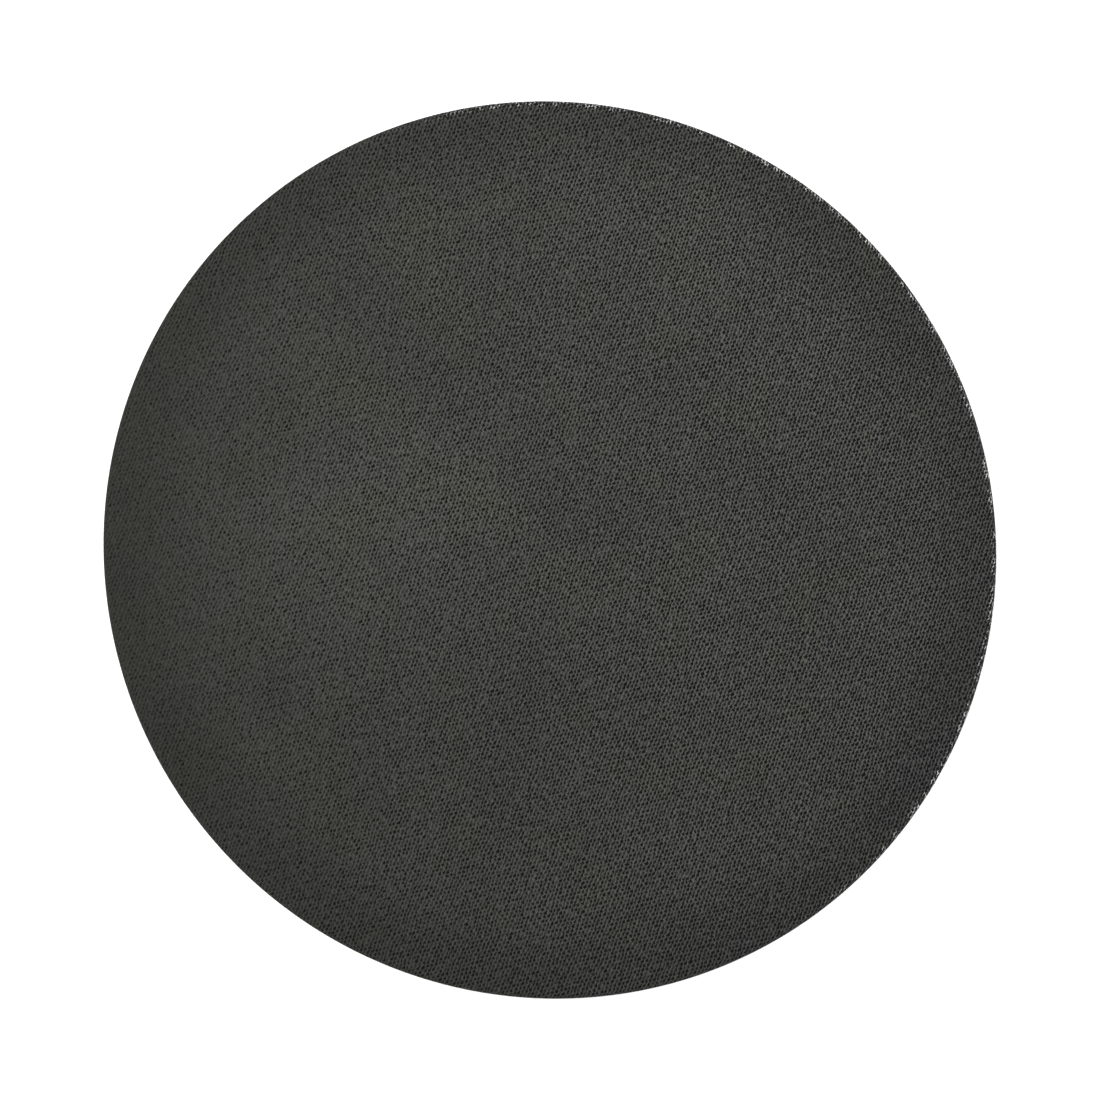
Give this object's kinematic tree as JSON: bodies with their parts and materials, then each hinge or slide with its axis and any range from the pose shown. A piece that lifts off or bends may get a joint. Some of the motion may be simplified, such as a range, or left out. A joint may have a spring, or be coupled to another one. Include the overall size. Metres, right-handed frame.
{
  "type": "collapsible backdrop panel",
  "caption": "Round collapsible backdrop panel: plain dark woven cloth stretched over a spring-steel hoop, with a sewn rear cloth. The panel flexes into a trough when its sides are lifted.",
  "frame": {"origin": "centre of the panel's footprint on the surface that it lies on, under the rear binding", "axes": "+Z is the panel's axis, out of the backdrop face; -Y points at the joint of the hoop; the panel flexes about lines along Y, so +X and -X are the sides that lift"},
  "size_m": [0.3, 0.3, 0.0072],
  "materials": {
    "front_cloth": "ribbed weave, matt",
    "rear_cloth": "plain weave, matt",
    "binding_tape": "herringbone tape, matt",
    "seam_thread": "twisted polyester thread, slight sheen",
    "casing_tape": "plain woven tape, matt",
    "spring_steel": "blued, rolled edges",
    "ferrule_steel": "zinc plated, crimped",
    "shrink_tube": "shrunk tube, matt"
  },
  "bodies": {
    "strip_middle": {"casing_tape_middle": "casing_tape", "edge_binding_middle": "binding_tape", "front_cloth_middle": "front_cloth", "hoop_band_middle": "spring_steel", "rear_cloth_middle": "rear_cloth", "seam_thread_middle": "seam_thread", "hoop_ferrule": "ferrule_steel", "hoop_rivets": "ferrule_steel", "shrink_sleeve": "shrink_tube"},
    "strip_left_1": {"casing_tape_left_1": "casing_tape", "edge_binding_left_1": "binding_tape", "front_cloth_left_1": "front_cloth", "hoop_band_left_1": "spring_steel", "rear_cloth_left_1": "rear_cloth", "seam_thread_left_1": "seam_thread"},
    "strip_left_2": {"casing_tape_left_2": "casing_tape", "edge_binding_left_2": "binding_tape", "front_cloth_left_2": "front_cloth", "hoop_band_left_2": "spring_steel", "rear_cloth_left_2": "rear_cloth", "seam_thread_left_2": "seam_thread"},
    "strip_left_3": {"casing_tape_left_3": "casing_tape", "edge_binding_left_3": "binding_tape", "front_cloth_left_3": "front_cloth", "hoop_band_left_3": "spring_steel", "rear_cloth_left_3": "rear_cloth", "seam_thread_left_3": "seam_thread"},
    "strip_right_1": {"casing_tape_right_1": "casing_tape", "edge_binding_right_1": "binding_tape", "front_cloth_right_1": "front_cloth", "hoop_band_right_1": "spring_steel", "rear_cloth_right_1": "rear_cloth", "seam_thread_right_1": "seam_thread"},
    "strip_right_2": {"casing_tape_right_2": "casing_tape", "edge_binding_right_2": "binding_tape", "front_cloth_right_2": "front_cloth", "hoop_band_right_2": "spring_steel", "rear_cloth_right_2": "rear_cloth", "seam_thread_right_2": "seam_thread"},
    "strip_right_3": {"casing_tape_right_3": "casing_tape", "edge_binding_right_3": "binding_tape", "front_cloth_right_3": "front_cloth", "hoop_band_right_3": "spring_steel", "rear_cloth_right_3": "rear_cloth", "seam_thread_right_3": "seam_thread"}
  },
  "joints": [
    {"name": "flex_right_1", "type": "hinge", "parent": "strip_middle", "child": "strip_right_1", "pos_m": [0.02143, 0, 0.00718], "axis": [0, -1, 0], "range_deg": [0, 30], "stiffness_Nm_per_rad": 0.12},
    {"name": "flex_right_2", "type": "hinge", "parent": "strip_right_1", "child": "strip_right_2", "pos_m": [0.06429, 0, 0.00718], "axis": [0, -1, 0], "range_deg": [0, 30], "stiffness_Nm_per_rad": 0.12},
    {"name": "flex_right_3", "type": "hinge", "parent": "strip_right_2", "child": "strip_right_3", "pos_m": [0.10714, 0, 0.00718], "axis": [0, -1, 0], "range_deg": [0, 30], "stiffness_Nm_per_rad": 0.12},
    {"name": "flex_left_1", "type": "hinge", "parent": "strip_middle", "child": "strip_left_1", "pos_m": [-0.02143, 0, 0.00718], "axis": [0, 1, 0], "range_deg": [0, 30], "stiffness_Nm_per_rad": 0.12},
    {"name": "flex_left_2", "type": "hinge", "parent": "strip_left_1", "child": "strip_left_2", "pos_m": [-0.06429, 0, 0.00718], "axis": [0, 1, 0], "range_deg": [0, 30], "stiffness_Nm_per_rad": 0.12},
    {"name": "flex_left_3", "type": "hinge", "parent": "strip_left_2", "child": "strip_left_3", "pos_m": [-0.10714, 0, 0.00718], "axis": [0, 1, 0], "range_deg": [0, 30], "stiffness_Nm_per_rad": 0.12}
  ],
  "couplings": [
    {"joint": "flex_right_2", "follows": "flex_right_1", "ratio": 1},
    {"joint": "flex_right_3", "follows": "flex_right_1", "ratio": 1},
    {"joint": "flex_left_1", "follows": "flex_right_1", "ratio": 1},
    {"joint": "flex_left_2", "follows": "flex_right_1", "ratio": 1},
    {"joint": "flex_left_3", "follows": "flex_right_1", "ratio": 1}
  ]
}
